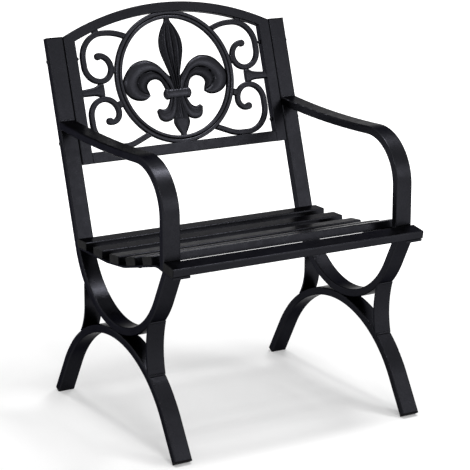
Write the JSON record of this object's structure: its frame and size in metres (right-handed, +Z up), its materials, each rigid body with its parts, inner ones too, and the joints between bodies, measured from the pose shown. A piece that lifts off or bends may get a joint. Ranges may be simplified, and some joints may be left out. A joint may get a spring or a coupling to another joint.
{
  "type": "garden armchair",
  "caption": "Outdoor armchair with looped tube side frames, a slatted dished seat, arched legs and an arched back frame holding a cast fleur-de-lis ornament in a ring with scrolls.",
  "frame": {"origin": "on the ground, at the centre of the bounding box's bottom", "axes": "+Z up, the sitter looks along -Y, the chair is symmetric across the plane x = 0"},
  "size_m": [0.618, 0.6048, 0.8627],
  "materials": {
    "black_tube": "satin black powder coat",
    "black_casting": "satin black powder coat on cast iron",
    "black_plastic": "matte black",
    "black_fastener": "satin black"
  },
  "bodies": {
    "root": {"armrest_left": "black_tube", "armrest_right": "black_tube", "back_bolts": "black_fastener", "back_bottom_rail": "black_tube", "back_cap_nuts": "black_fastener", "back_stile_left": "black_tube", "back_stile_right": "black_tube", "back_top_rail": "black_tube", "front_brace_left": "black_tube", "front_brace_right": "black_tube", "front_foot_caps": "black_plastic", "leg_arch_left": "black_tube", "leg_arch_right": "black_tube", "ornament_fleur": "black_casting", "ornament_ring": "black_casting", "post_and_loop_left": "black_tube", "post_and_loop_right": "black_tube", "post_caps": "black_plastic", "rear_brace_left": "black_tube", "rear_brace_right": "black_tube", "rear_foot_caps": "black_plastic", "scroll_lower_left": "black_casting", "scroll_lower_right": "black_casting", "scroll_upper_left": "black_casting", "scroll_upper_right": "black_casting", "seat_rail_left": "black_tube", "seat_rail_right": "black_tube", "seat_slat_1": "black_tube", "seat_slat_2": "black_tube", "seat_slat_3": "black_tube", "seat_slat_4": "black_tube", "seat_slat_5": "black_tube", "seat_slat_6": "black_tube", "side_bracket_left": "black_casting", "side_bracket_right": "black_casting", "slat_bolts": "black_fastener", "slat_plugs": "black_plastic"}
  },
  "joints": []
}
